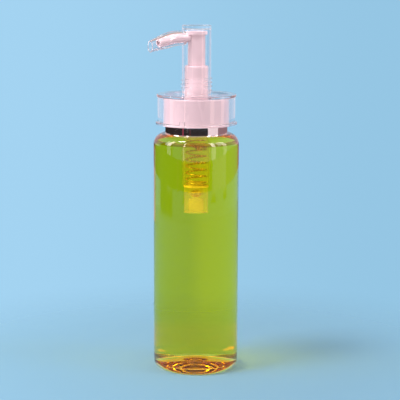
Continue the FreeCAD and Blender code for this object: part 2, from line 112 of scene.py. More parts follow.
# Threads; a ridge starts at a small share of its height and gains the rest by the turn
NECK_THREAD_PITCH = 4.23 * MM
NECK_THREAD_TURNS = 1.4
NECK_THREAD_OUT = 1.1 * MM
NECK_THREAD_ROOT = 2.2 * MM
NECK_THREAD_CREST = 0.9 * MM
NECK_THREAD_RISE = 1.6 * MM
NECK_THREAD_START = 0.0
LOCK_THREAD_PITCH = 2.05 * MM
LOCK_THREAD_TURNS = 3.4
LOCK_THREAD_OUT = 0.55 * MM
LOCK_THREAD_ROOT = 1.1 * MM
LOCK_THREAD_CREST = 0.5 * MM
LOCK_THREAD_RISE = 4.2 * MM
LOCK_THREAD_START = -60.0
RIDGE_SINK = 0.05 * MM
RIDGE_STEPS = 64
RIDGE_END = 0.02
RIDGE_GAIN = 6

# Spring
SPRING_WIRE = 0.8 * MM
SPRING_TURNS = 8.25
SPRING_END_PITCH = 1.3 * MM
SPRING_RAMP = 0.5
SPRING_STEPS = 40
WIRE_SIDES = 12

# Fineness of the turned shapes
ARC_STEPS = 10
DOME_STEPS = 12
TURN_STEPS = 192
SHARP_ANGLE = 40.0
ON_AXIS = 1e-9

# Optical densities; the housing and the dip tube have theirs against the oil round them, and
# faces that only part two meshes of the same oil don't bend light
IOR_PETG = 1.53
IOR_OIL = 1.47
IOR_ACRYLIC = 1.49
IOR_OPAQUE = 1.5
IOR_UNBENT = 1.0
IOR_HOUSING = 1.03
IOR_DIP_TUBE = 1.003

# Colours of the pieces
COLOURLESS = (1.0, 1.0, 1.0)
# Faint pink through the acrylic: painted light, for the core's pink light carried along its walls
ACRYLIC_PINK_PAINTED_LIGHT = (1.0, 0.985, 0.992)
# Painted amber shade: a tint on the wet face under the shoulder for the dark amber of long light
# paths in the oil
OIL_LINE_PAINTED_SHADE = (0.62, 0.28, 0.05)
OIL_COLOUR = (0.980, 0.938, 0.03)
OIL_DENSITY = 130.0
PINK = (0.80, 0.573, 0.625)
NATURAL = (0.84, 0.82, 0.80)
HOUSING_COLOUR = (1.0, 0.95, 0.80)
FOAM_COLOUR = (0.80, 0.80, 0.78)
CHROME_COLOUR = (0.90, 0.88, 0.88)
STEEL_COLOUR = (0.56, 0.55, 0.54)
NOISE_SPAN = (0.3, 0.7)

# Share of the light that the housing lets through, below and above these heights
HOUSING_CLEAR = (0.84, 0.95)
HOUSING_CLEAR_Z = (97 * MM, 101 * MM)

# Backdrop and floor, from the left of the picture to its right: both darker on the right, a painted
# shade for light falling off that way. The floor fades out over the near distances for rays that
# see it straight on, and over the far ones for the rest.
BACKDROP_LEFT = (0.37, 0.655, 0.885)
BACKDROP_RIGHT_SHADED = (0.30, 0.565, 0.775)
BACKDROP_SPREAD = 0.14
FLOOR_LEFT = (0.262, 0.478, 0.650)
FLOOR_RIGHT_SHADED = (0.245, 0.442, 0.602)
FLOOR_SPREAD = 0.09
FLOOR_BOUNCE = (0.60, 0.58, 0.57)
FLOOR_R = 1.6
FLOOR_SIDES = 96
FLOOR_NEAR = (0.06, 0.22)
FLOOR_FAR = (0.50, 0.62)

# Golden light of the oil, painted into the floor's colour; a reach is how long a ray may be to see
# it
FLOOR_UNDER_PAINTED_LIGHT = (0.95, 0.72, 0.20)
FLOOR_PAINTED_GOLDEN_LIGHT = (0.95, 0.62, 0.16)
GOLDEN_REACH = (0.14, 0.10)
FLOOR_PAINTED_SPOT_LIGHT = (1.0, 0.70, 0.2)
SPOT_REACH = (0.040, 0.034)
SPOT_CORE = 0.2
PAINTED_LIGHT_SPOTS = (
    # to the right, to the back, radius, strength
    (-0.0205, 0.0452, 0.0095, 1.0),
    (-0.0120, 0.0462, 0.0045, 0.6),
    (0.0125, 0.0400, 0.0065, 0.45),
)

# Room, as mirror faces and rays folded inside clear plastic see it. An edge is where one tone turns
# into the next: two elevations for the ceiling, two places across for the others.
ROOM_DARK = (0.04, 0.03, 0.03)
ROOM_DARK_EDGE = (-0.89, -0.935)
ROOM_FRONT = (0.30, 0.53, 0.70)
ROOM_FRONT_SPREAD = 0.25
ROOM_MID = (0.55, 0.47, 0.48)
ROOM_PINK = (0.85, 0.50, 0.56)
ROOM_PINK_SHARE = 0.13
CEILING = (0.50, 0.46, 0.45)
CEILING_PIPED = (1.5, 1.34, 1.3)
CEILING_BACK = (0.62, 0.45, 0.40)
CEILING_EDGE = (16.0, 28.0)
SOFTBOX = (1.0, 0.97, 0.96)
SOFTBOX_EDGE = (0.35, 0.65)
AMBIENT = 0.62
AMBIENT_COLOUR = (1.0, 0.985, 0.98)

# Cards round the bottle, placed by their bearing from the camera's side
CARD_R = 0.45
LINE_R = 0.44
STRIP_R = 0.50
CARD_STEP = 4
RING_HEIGHTS = (0.050, 0.0835)
LOW_HEIGHTS = (0.002, 0.070)
PANEL_HEIGHTS = (0.086, 0.30)
STRIP_LOW_HEIGHTS = (0.03, 0.17)
STRIP_LOW_FULL = 0.07
STRIP_HIGH_HEIGHTS = (0.17, 0.60)
STRIP_HIGH_FULL = 0.22
STRIP_COLOUR = (1.0, 0.89, 0.87)
PANEL_COLOUR = (1.0, 0.86, 0.92)
CARDS = (
    # name, bearings of its ends, distance, colour, strength, heights
    ("card_dark", (-170, 43), CARD_R, (0.03, 0.022, 0.022), 1.0, RING_HEIGHTS),
    ("card_pink_line", (-51, -47.5), LINE_R, (0.45, 0.06, 0.10), 1.0, RING_HEIGHTS),
    ("card_thin_line", (-23.2, -22), LINE_R, (0.28, 0.05, 0.07), 1.0, RING_HEIGHTS),
    ("card_bright", (43, 86), CARD_R, (1.0, 0.78, 0.82), 0.95, RING_HEIGHTS),
    ("card_mauve", (86, 168), CARD_R, (0.30, 0.17, 0.19), 1.0, RING_HEIGHTS),
    ("card_back_left", (-166, -142), CARD_R, (0.95, 0.62, 0.75), 0.9, LOW_HEIGHTS),
    ("card_back_line", (-141.5, -137), CARD_R, (0.20, 0.06, 0.05), 1.0, LOW_HEIGHTS),
)
STRIPS = (
    # side, bearings of its ends, strength of its lower and its upper part
    ("left", (-84, -71), 2.0, 12.0),
    ("left_front", (-35, -31.5), 3.0, 12.0),
    ("right_front", (41, 53), 3.0, 12.0),
    ("right", (76, 88), 2.5, 8.0),
)
PANELS = (
    ("panel_back_left", (-168, -115)),
    ("panel_back_right", (115, 168)),
)

# Lamps, and stand-ins that tint the shadow
LAMP_DISTANCE = 0.9
LAMP_AIM = 0.55
LAMPS = (
    # name, bearing, elevation, size, power
    ("lamp_key", -61, 58, (0.22, 0.22), 4.0),
    ("lamp_left_side", -85, 25, (0.30, 0.45), 1.6),
    ("lamp_right_side", 72, 30, (0.30, 0.45), 1.6),
)
SHADOW_TINT = (0.95, 0.77, 0.25)
SHADOW_FOOT = 1.0 * MM
HEEL_TINT = (0.0, 0.04, 0.50)
HEEL_WALL = 3.0 * MM
HEEL_TOP = 12.0 * MM

BOUNCES = 128
TRANSPARENT_BOUNCES = 16


# Shapes

def rounded(corners):
    """Points of a section through (radius, height) corners; a third value rounds a corner off."""
    points = [Vector(corner[:2]) for corner in corners]
    result = []
    for index, corner in enumerate(corners):
        point = points[index]
        if len(corner) < 3:
            result.append(point)
            continue
        before = (points[index - 1] - point).normalized()
        after = (points[(index + 1) % len(points)] - point).normalized()
        half = before.angle(after) / 2
        reach = corner[2] / math.tan(half)
        centre = point + (before + after).normalized() * (corner[2] / math.sin(half))
        start = point + before * reach - centre
        turn = start.angle_signed(point + after * reach - centre)
        for step in range(ARC_STEPS + 1):
            swing = Matrix.Rotation(-turn * step / ARC_STEPS, 2)
            result.append(centre + swing @ start)
    return result


def cap_height(radius, rim_r, rise):
    """Height of a shallow dome above its rim at this radius."""
    ball = (rim_r ** 2 + rise ** 2) / (2 * rise)
    return math.sqrt(ball ** 2 - radius ** 2) - (ball - rise)


def dome_points(start_r, end_r, rim_r, rim_z, rise):
    """Points of a dome's section from one radius to another."""
    result = []
    for step in range(DOME_STEPS + 1):
        radius = start_r + (end_r - start_r) * step / DOME_STEPS
        result.append(Vector((radius, rim_z + cap_height(radius, rim_r, rise))))
    return result


def around(radius, angle, height):
    """Point at a radius and a height, turned about the Z axis by an angle in radians."""
    return Vector((radius * math.cos(angle), radius * math.sin(angle), height))


def plain_mesh(name, build):
    mesh = bpy.data.meshes.new(name)
    build.to_mesh(mesh)
    build.free()
    return mesh


def smooth_mesh(name, build):
    """Mesh from a bmesh, smooth but for its sharp edges, with its faces turned outwards."""
    bmesh.ops.recalc_face_normals(build, faces=build.faces)
    mesh = plain_mesh(name, build)
    mesh.shade_smooth()
    mesh.set_sharp_from_angle(angle=math.radians(SHARP_ANGLE))
    return mesh


def turned(name, section, slots=None):
    """Mesh turned about the Z axis from a closed section; slots gives each run its material."""
    build = bmesh.new()
    angles = [2 * math.pi * step / TURN_STEPS for step in range(TURN_STEPS)]
    rows = []
    for point in section:
        if point.x < ON_AXIS:
            rows.append([build.verts.new((0, 0, point.y))] * TURN_STEPS)
        else:
            rows.append([build.verts.new(around(point.x, angle, point.y)) for angle in angles])
    for index, row in enumerate(rows):
        following = rows[(index + 1) % len(rows)]
        if row[0] is row[1] and following[0] is following[1]:
            continue
        for step in range(TURN_STEPS):
            onward = (step + 1) % TURN_STEPS
            corners = [row[step], row[onward], following[onward], following[step]]
            face = build.faces.new(list(dict.fromkeys(corners)))
            if slots:
                face.material_index = slots[index]
    return smooth_mesh(name, build)


def tube_mesh(name, build, rings):
    """Closed mesh over rings of points that follow each other, with a face on both ends."""
    for first, last in zip(rings, rings[1:]):
        for side in range(len(first)):
            onward = (side + 1) % len(first)
            build.faces.new([first[side], first[onward], last[onward], last[side]])
    build.faces.new(rings[0])
    build.faces.new(rings[-1])
    return smooth_mesh(name, build)


def ridge(name, radius, out, pitch, turns, low_z, start, root, crest):
    """Closed helical thread ridge on a cylinder, fading in and out over its ends."""
    build = bmesh.new()
    rings = []
    for step in range(int(turns * RIDGE_STEPS) + 1):
        turn = step / RIDGE_STEPS
        angle = math.radians(start) + 2 * math.pi * turn
        fade = min(1.0, min(turn, turns - turn) * RIDGE_GAIN + RIDGE_END)
        height = low_z + pitch * turn
        section = (
            (radius - RIDGE_SINK, -root / 2),
            (radius + out * fade, -crest / 2),
            (radius + out * fade, crest / 2),
            (radius - RIDGE_SINK, root / 2),
        )
        rings.append([build.verts.new(around(r, angle, height + z)) for r, z in section])
    return tube_mesh(name, build, rings)


def swept(name, points, radius, sides):
    """Round wire along points, closed at both ends."""
    build = bmesh.new()
    angles = [2 * math.pi * side / sides for side in range(sides)]
    rings = []
    for index, point in enumerate(points):
        ahead = points[min(index + 1, len(points) - 1)]
        behind = points[max(index - 1, 0)]
        along = (ahead - behind).normalized()
        across = along.cross(UP).normalized()
        upward = across.cross(along)
        rings.append([
            build.verts.new(point + (across * math.cos(a) + upward * math.sin(a)) * radius)
            for a in angles
        ])
    return tube_mesh(name, build, rings)


def new_piece(name, mesh, materials, body):
    """Object for a finished mesh, riding on its body and taking its finish from a slot."""
    for material in materials:
        mesh.materials.append(material)
    piece = bpy.data.objects.new(name, mesh)
    bpy.context.scene.collection.objects.link(piece)
    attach(piece, body)
    return piece


# Shader nodes

def connect(tree, value, socket):
    """Link an output to a socket, or set the socket to a number or a colour."""
    if isinstance(value, bpy.types.NodeSocket):
        tree.links.new(value, socket)
    elif isinstance(value, tuple):
        socket.default_value = (*value, 1)
    else:
        socket.default_value = value


def combine(tree, operation, first, second=0.0):
    """Result of an operation on two values, kept between 0 and 1."""
    node = tree.nodes.new("ShaderNodeMath")
    node.operation = operation
    node.use_clamp = True
    connect(tree, first, node.inputs[0])
    connect(tree, second, node.inputs[1])
    return node.outputs["Value"]


def measure(tree, place, operation, vector=None):
    """Number that a vector operation gives for a place."""
    node = tree.nodes.new("ShaderNodeVectorMath")
    node.operation = operation
    tree.links.new(place, node.inputs[0])
    if vector is not None:
        node.inputs[1].default_value = vector
    return node.outputs["Value"]


def ramp(tree, value, low, high, start=0.0, end=1.0, course="SMOOTHSTEP"):
    """Number that runs from start to end while a value runs from low to high."""
    node = tree.nodes.new("ShaderNodeMapRange")
    node.interpolation_type = course
    limits = {"From Min": low, "From Max": high, "To Min": start, "To Max": end}
    for socket, limit in limits.items():
        node.inputs[socket].default_value = limit
    tree.links.new(value, node.inputs["Value"])
    return node.outputs["Result"]


def mix(tree, share, first, second):
    """Colour between two colours, by a share of the second."""
    node = tree.nodes.new("ShaderNodeMixRGB")
    connect(tree, share, node.inputs["Fac"])
    connect(tree, first, node.inputs["Color1"])
    connect(tree, second, node.inputs["Color2"])
    return node.outputs["Color"]


def mix_shaders(tree, share, first, second):
    node = tree.nodes.new("ShaderNodeMixShader")
    for socket, value in zip(node.inputs, (share, first, second)):
        tree.links.new(value, socket)
    return node.outputs["Shader"]


def own_height(tree):
    """Height in the object's own coordinates, which are in metres."""
    place = tree.nodes.new("ShaderNodeTexCoord")
    return measure(tree, place.outputs["Object"], "DOT_PRODUCT", UP)


def noise(tree, scale, detail, stretch=(1, 1, 1)):
    """Noise over the object's own coordinates."""
    place = tree.nodes.new("ShaderNodeTexCoord")
    mapping = tree.nodes.new("ShaderNodeMapping")
    mapping.inputs["Scale"].default_value = stretch
    texture = tree.nodes.new("ShaderNodeTexNoise")
    texture.inputs["Scale"].default_value = scale
    texture.inputs["Detail"].default_value = detail
    tree.links.new(place.outputs["Object"], mapping.inputs["Vector"])
    tree.links.new(mapping.outputs["Vector"], texture.inputs["Vector"])
    return texture.outputs["Fac"]


def vary_colour(tree, fac, bsdf, dark, light):
    band = tree.nodes.new("ShaderNodeValToRGB")
    for element, position, colour in zip(band.color_ramp.elements, NOISE_SPAN, (dark, light)):
        element.position = position
        element.color = (*colour, 1)
    tree.links.new(fac, band.inputs["Fac"])
    tree.links.new(band.outputs["Color"], bsdf.inputs["Base Color"])


def vary_roughness(tree, fac, bsdf, low, high):
    value = ramp(tree, fac, *NOISE_SPAN, start=low, end=high, course="LINEAR")
    tree.links.new(value, bsdf.inputs["Roughness"])


def add_bump(tree, fac, bsdf, strength, distance):
    bump = tree.nodes.new("ShaderNodeBump")
    bump.inputs["Strength"].default_value = strength
    bump.inputs["Distance"].default_value = distance
    tree.links.new(fac, bump.inputs["Height"])
    tree.links.new(bump.outputs["Normal"], bsdf.inputs["Normal"])


# Materials of the pieces

def shader(name):
    """New material, its nodes and its principled shader."""
    material = bpy.data.materials.new(name)
    material.use_nodes = True
    tree = material.node_tree
    return material, tree, tree.nodes["Principled BSDF"]


def shade(colour, factor):
    return tuple(min(1.0, value * factor) for value in colour)


def moulded(name, colour, roughness, bump=0.05):
    """Opaque moulded plastic: faint flow marks in its colour and gloss, and a fine skin."""
    material, tree, bsdf = shader(name)
    flow = noise(tree, scale=90, detail=3, stretch=(1, 1, 0.35))
    vary_colour(tree, flow, bsdf, dark=shade(colour, 0.965), light=shade(colour, 1.02))
    vary_roughness(tree, flow, bsdf, low=roughness * 0.85, high=roughness * 1.2)
    add_bump(tree, noise(tree, scale=1800, detail=2), bsdf, strength=bump, distance=0.05 * MM)
    bsdf.inputs["IOR"].default_value = IOR_OPAQUE
    return material


def clear(name, ior, tint, bump=0.03):
    """Clear plastic with the slight waviness of a moulded wall."""
    material, tree, bsdf = shader(name)
    bsdf.inputs["Transmission Weight"].default_value = 1.0
    bsdf.inputs["IOR"].default_value = ior
    bsdf.inputs["Roughness"].default_value = 0.0
    vary_colour(tree, noise(tree, scale=40, detail=1), bsdf, dark=shade(tint, 0.997), light=tint)
    if bump:
        waves = noise(tree, scale=70, detail=1, stretch=(1, 1, 0.3))
        add_bump(tree, waves, bsdf, strength=bump, distance=0.4 * MM)
    return material


def milky(name, colour, roughness, ior, clearness, heights):
    """Natural plastic that scatters part of the light; how clear it is changes over two heights."""
    material, tree, bsdf = shader(name)
    cloud = noise(tree, scale=160, detail=3, stretch=(1, 1, 0.4))
    vary_colour(tree, cloud, bsdf, dark=shade(colour, 0.93), light=colour)
    vary_roughness(tree, cloud, bsdf, low=roughness * 0.8, high=roughness * 1.25)
    bsdf.inputs["IOR"].default_value = ior
    clearing = ramp(tree, own_height(tree), *heights, *clearness)
    tree.links.new(clearing, bsdf.inputs["Transmission Weight"])
    return material


def metal(name, colour, roughness, scale, stretch):
    """Bright metal with fine marks in its polish."""
    material, tree, bsdf = shader(name)
    marks = noise(tree, scale, detail=4, stretch=stretch)
    vary_colour(tree, marks, bsdf, dark=shade(colour, 0.94), light=colour)
    vary_roughness(tree, marks, bsdf, low=roughness * 0.6, high=roughness * 1.4)
    bsdf.inputs["Metallic"].default_value = 1.0
    return material


def liquid(name, ior):
    """Clear face of the oil."""
    material, _, bsdf = shader(name)
    bsdf.inputs["Base Color"].default_value = (*COLOURLESS, 1)
    bsdf.inputs["Transmission Weight"].default_value = 1.0
    bsdf.inputs["Roughness"].default_value = 0.0
    bsdf.inputs["IOR"].default_value = ior
    return material


def add_absorption(material):
    """Golden colour that deepens with the light's way through the oil."""
    tree = material.node_tree
    volume = tree.nodes.new("ShaderNodeVolumeAbsorption")
    volume.inputs["Color"].default_value = (*OIL_COLOUR, 1)
    volume.inputs["Density"].default_value = OIL_DENSITY
    output = tree.nodes["Material Output"]
    tree.links.new(volume.outputs["Volume"], output.inputs["Volume"])


petg = clear("petg_clear", IOR_PETG, COLOURLESS)
petg_wet = clear("petg_wet_side", IOR_PETG / IOR_OIL, COLOURLESS, bump=0)
# Painted amber shade line on the wet face under the shoulder
petg_painted_shade_line = clear("petg_painted_amber_shade", IOR_PETG / IOR_OIL, OIL_LINE_PAINTED_SHADE, bump=0)
acrylic = clear("acrylic_clear", IOR_ACRYLIC, ACRYLIC_PINK_PAINTED_LIGHT)
dip_clear = clear("natural_plastic_clear", IOR_DIP_TUBE, COLOURLESS, bump=0)
pink = moulded("pink_plastic_moulded", PINK, roughness=0.28)
white_natural = moulded("natural_plastic_moulded", NATURAL, roughness=0.35)
foam = moulded("seal_foam_cells", FOAM_COLOUR, roughness=0.8, bump=0.6)
housing_milky = milky(
    "natural_plastic_milky", HOUSING_COLOUR, roughness=0.12, ior=IOR_HOUSING,
    clearness=HOUSING_CLEAR, heights=HOUSING_CLEAR_Z,
)
chrome = metal("chrome_polished", CHROME_COLOUR, roughness=0.04, scale=400, stretch=(1, 1, 6))
steel = metal("steel_drawn", STEEL_COLOUR, roughness=0.25, scale=900, stretch=(1, 1, 1))
oil_inside = liquid("oil_depth", IOR_UNBENT)
add_absorption(oil_inside)
oil_top = liquid("oil_top_face", IOR_OIL)
oil_join = liquid("oil_join_face", IOR_UNBENT)

for finish, nodes in (
    (pink, ("closure", "lock_ring", "actuator_core", "nozzle_insert")),
    (white_natural, ("ball_cage", "piston", "stem", "stem_plug")),
    (acrylic, ("collar_cover", "actuator_shell")),
    (chrome, ("neck_ring",)),
    (foam, ("gasket",)),
    (housing_milky, ("pump_housing",)),
    (dip_clear, ("dip_tube",)),
    (steel, ("inlet_ball",)),
):
    for node in nodes:
        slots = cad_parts[node].data.materials
        slots.clear()
        slots.append(finish)


# Pieces with meshes of their own, placed by the parts of model.glb

bottle_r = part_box("bottle")[1].x
neck_top_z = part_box("bottle")[1].z
shoulder_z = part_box("neck_ring")[0].z
oil_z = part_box("oil")[1].z
inside_r = bottle_r - WALL
ceiling_z = shoulder_z - SHOULDER_THICK
foot_out_r = bottle_r - BASE_ROUND
foot_in_r = foot_out_r - FOOT_WIDTH


def inside_points(gap=0.0):
    """Section of the bottle's hollow, drawn in by a gap, from its mouth to its floor's middle."""
    radius = inside_r - gap
    floor_z = BASE_THICK + gap
    wall = rounded([
        (NECK_BORE_R - gap, neck_top_z),
        (NECK_BORE_R - gap, ceiling_z - gap, NECK_ROOT_ROUND + gap),
        (radius, ceiling_z - gap, SHOULDER_INNER_ROUND - gap),
        (radius, floor_z, INNER_FLOOR_ROUND - gap),
        (0, floor_z),
    ])[:-1]
    rim_r = radius - INNER_FLOOR_ROUND + gap
    return wall + dome_points(rim_r, 0, rim_r, floor_z, INNER_FLOOR_RISE)[1:]


def parted(section, height):
    """Parts of a downward section above and below a height; both keep the crossing."""
    index = next(i for i, point in enumerate(section) if point.y < height)
    above, below = section[index - 1], section[index]
    crossing = above.lerp(below, (above.y - height) / (above.y - below.y))
    return section[:index] + [crossing], [crossing] + section[index:]


def make_bottle():
    """Blown bottle; the faces that the oil wets bend light by the step from plastic to oil.

    The corner under the shoulder has a dry line, with a line of painted amber shade on the wet face
    below it.
    """
    dimple_z = cap_height(DIMPLE_R, foot_in_r, PUSH_UP)
    under = dome_points(0, DIMPLE_R, DIMPLE_R, dimple_z, DIMPLE_RISE)[:-1]
    under += dome_points(DIMPLE_R, foot_in_r, foot_in_r, 0, PUSH_UP)
    outside = rounded([
        (foot_in_r, 0),
        (bottle_r, 0, BASE_ROUND),
        (bottle_r, shoulder_z, SHOULDER_ROUND),
        (BEAD_R, shoulder_z),
        (BEAD_R, shoulder_z + BEAD_HEIGHT),
        (NECK_R, shoulder_z + BEAD_HEIGHT),
        (NECK_R, neck_top_z, MOUTH_ROUND),
        (NECK_BORE_R, neck_top_z),
    ])[1:-1]
    dry, wet = parted(inside_points(), oil_z)
    section = under + outside + dry + wet[1:]
    first_wet = len(under) + len(outside) + len(dry) - 1
    corner_r = inside_r - SHOULDER_INNER_ROUND - SKIN
    corner_z = ceiling_z - SHOULDER_INNER_ROUND + SKIN
    finishes = [petg, petg_wet, petg_painted_shade_line]
    slots = []
    for index, point in enumerate(section):
        finish = petg_wet
        if index < first_wet or index == len(section) - 1:
            finish = petg
        elif point.x > corner_r and point.y > corner_z:
            finish = petg if point.y > ceiling_z - EDGE_DRY else petg_painted_shade_line
        slots.append(finishes.index(finish))
    mesh = turned("bottle_body", section, slots)
    piece = new_piece("bottle_body", mesh, finishes, "bottle")
    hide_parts("bottle")


def make_oil():
    """Oil up to its level, under a film with its bright top face and its creep up the wall."""
    wet = parted(inside_points(SKIN), oil_z)[1]
    top = []
    for step in range(MENISCUS_STEPS + 1):
        share = step / MENISCUS_STEPS
        height = oil_z - MENISCUS_RISE * (1 - (1 - share) ** MENISCUS_CURVE)
        top.append(Vector((wet[0].x - MENISCUS_REACH * share, height)))
    top.append(Vector((0, oil_z - MENISCUS_RISE)))
    lowered = [Vector((point.x, point.y - FILM)) for point in top]
    sides = [point for point in wet if point.y < lowered[0].y - SKIN]
    mesh = turned("oil_body", lowered[::-1] + sides)
    body = new_piece("oil_body", mesh, [oil_inside], "bottle")
    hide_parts("oil")
    under = [Vector((point.x, point.y + FILM_LIFT)) for point in lowered[::-1]]
    section = under + top
    finishes = [oil_top, oil_join]
    slots = []
    for index in range(len(section)):
        on_top = len(under) <= index < len(section) - 1
        slots.append(finishes.index(oil_top if on_top else oil_join))
    mesh = turned("oil_surface", section, slots)
    new_piece("oil_surface", mesh, finishes, "bottle")


def spring_rise(turn, room):
    """Height of the wire's centre line after so many turns, with closer coils at both ends."""
    steep = (room - SPRING_END_PITCH * (2 + SPRING_RAMP)) / (SPRING_TURNS - 2 - SPRING_RAMP)
    if turn > SPRING_TURNS / 2:
        return room - spring_rise(SPRING_TURNS - turn, room)
    if turn <= 1:
        return SPRING_END_PITCH * turn
    part = min(turn - 1, SPRING_RAMP)
    pitch = SPRING_END_PITCH + (steep - SPRING_END_PITCH) * part / SPRING_RAMP
    return SPRING_END_PITCH + part * (SPRING_END_PITCH + pitch) / 2 + steep * (turn - 1 - part)


def make_spring():
    """Helical wire between its two seats, at rest; in the pump, pressing the head squashes it by
    the stroke.
    """
    low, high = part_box("return_spring")
    radius = high.y - SPRING_WIRE / 2
    room = high.z - low.z - SPRING_WIRE
    points = []
    for step in range(int(SPRING_TURNS * SPRING_STEPS) + 1):
        turn = step / SPRING_STEPS
        height = low.z + SPRING_WIRE / 2 + spring_rise(turn, room)
        points.append(around(radius, -2 * math.pi * turn, height))
    mesh = swept("spring_wire", points, SPRING_WIRE / 2, WIRE_SIDES)
    piece = new_piece("spring_wire", mesh, [steel], "pump")
    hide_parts("return_spring")
    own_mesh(piece)


def make_threads():
    """Screw thread on the neck, and the finer lock thread on the head's foot."""
    skirt_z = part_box("closure")[0].z
    mesh = ridge(
        "neck_thread", NECK_R, NECK_THREAD_OUT, NECK_THREAD_PITCH, NECK_THREAD_TURNS,
        skirt_z + NECK_THREAD_RISE, NECK_THREAD_START, NECK_THREAD_ROOT, NECK_THREAD_CREST,
    )
    new_piece("neck_thread", mesh, [petg], "bottle")
    shell_low, shell_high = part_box("actuator_shell")
    mesh = ridge(
        "lock_thread", shell_high.x, LOCK_THREAD_OUT, LOCK_THREAD_PITCH, LOCK_THREAD_TURNS,
        shell_low.z + LOCK_THREAD_RISE, LOCK_THREAD_START, LOCK_THREAD_ROOT, LOCK_THREAD_CREST,
    )
    new_piece("lock_thread", mesh, [acrylic], "actuator")


make_bottle()
make_oil()
make_spring()
make_threads()

# Light passes straight through the clear pieces, so they cast no solid shadow
for piece in ("bottle_body", "oil_body", "oil_surface", "neck_thread", "lock_thread"):
    bpy.data.objects[piece].visible_shadow = False
for node in ("collar_cover", "actuator_shell", "pump_housing", "dip_tube"):
    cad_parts[node].visible_shadow = False


# Room, light and camera

azimuth = math.radians(CAMERA_AZIMUTH)
toward_camera = Vector((math.sin(azimuth), -math.cos(azimuth), 0))
image_right = Vector((math.cos(azimuth), math.sin(azimuth), 0))


def bearing(degrees):
    """Level direction this far round from the camera's side towards the image's right."""
    angle = math.radians(degrees)
    return toward_camera * math.cos(angle) + image_right * math.sin(angle)


def bare_material(name):
    """New material with no shader yet, its nodes and the socket for its surface."""
    material = bpy.data.materials.new(name)
    material.use_nodes = True
    tree = material.node_tree
    tree.nodes.clear()
    output = tree.nodes.new("ShaderNodeOutputMaterial")
    return material, tree, output.inputs["Surface"]


def stage_piece(name, mesh, material, unseen_by=()):
    """Object that belongs to the room, hidden from some kinds of ray."""
    mesh.materials.append(material)
    piece = bpy.data.objects.new(name, mesh)
    bpy.context.scene.collection.objects.link(piece)
    for ray in unseen_by:
        setattr(piece, "visible_" + ray, False)


def make_world():
    """Blue backdrop, with a white ceiling over it, for what is seen; even light for the rest.

    Mirror faces see a front of their own. Rays folded inside clear plastic see warmer tones.
    """
    world = bpy.data.worlds.new("studio")
    bpy.context.scene.world = world
    world.use_nodes = True
    tree = world.node_tree
    tree.nodes.clear()
    path = tree.nodes.new("ShaderNodeLightPath").outputs
    direct = path["Is Camera Ray"]
    glossy = path["Is Glossy Ray"]
    through = path["Is Transmission Ray"]
    seen = combine(tree, "MAXIMUM", direct, glossy)
    seen = combine(tree, "MAXIMUM", seen, through)
    seen = combine(tree, "SUBTRACT", seen, path["Diffuse Depth"])
    bent = combine(tree, "SUBTRACT", 1.0, direct)
    mirror = combine(tree, "SUBTRACT", glossy, through)
    folded = combine(tree, "MINIMUM", path["Glossy Depth"], 1.0)
    place = tree.nodes.new("ShaderNodeTexCoord").outputs["Generated"]
    across = measure(tree, place, "DOT_PRODUCT", image_right)
    forward = measure(tree, place, "DOT_PRODUCT", toward_camera)
    upward = measure(tree, place, "DOT_PRODUCT", UP)
    front = ramp(tree, forward, -ROOM_FRONT_SPREAD, ROOM_FRONT_SPREAD)
    overhead = ramp(tree, upward, *(math.sin(math.radians(edge)) for edge in CEILING_EDGE))
    sideways = ramp(tree, combine(tree, "ABSOLUTE", across), *SOFTBOX_EDGE)
    rightward = ramp(tree, across, -BACKDROP_SPREAD, BACKDROP_SPREAD)
    # Backdrop darker to the right: painted shade
    backdrop = mix(tree, rightward, BACKDROP_LEFT, BACKDROP_RIGHT_SHADED)
    ceiling = mix(tree, sideways, CEILING, SOFTBOX)
    piped = mix(tree, front, CEILING_BACK, CEILING_PIPED)
    ceiling = mix(tree, combine(tree, "MULTIPLY", folded, through), ceiling, piped)
    passed = mix(tree, combine(tree, "MULTIPLY", folded, ROOM_PINK_SHARE), backdrop, ROOM_PINK)
    passed = mix(tree, combine(tree, "MULTIPLY", front, folded), passed, ROOM_MID)
    mirrored = mix(tree, front, backdrop, ROOM_FRONT)
    mirrored = mix(tree, ramp(tree, across, *ROOM_DARK_EDGE), mirrored, ROOM_DARK)
    room = mix(tree, mirror, passed, mirrored)
    sky = mix(tree, combine(tree, "MULTIPLY", overhead, bent), room, ceiling)
    shown = tree.nodes.new("ShaderNodeBackground")
    tree.links.new(sky, shown.inputs["Color"])
    ambient = tree.nodes.new("ShaderNodeBackground")
    ambient.inputs["Color"].default_value = (*AMBIENT_COLOUR, 1)
    ambient.inputs["Strength"].default_value = AMBIENT
    light = mix_shaders(tree, seen, ambient.outputs["Background"], shown.outputs["Background"])
    output = tree.nodes.new("ShaderNodeOutputWorld")
    tree.links.new(light, output.inputs["Surface"])


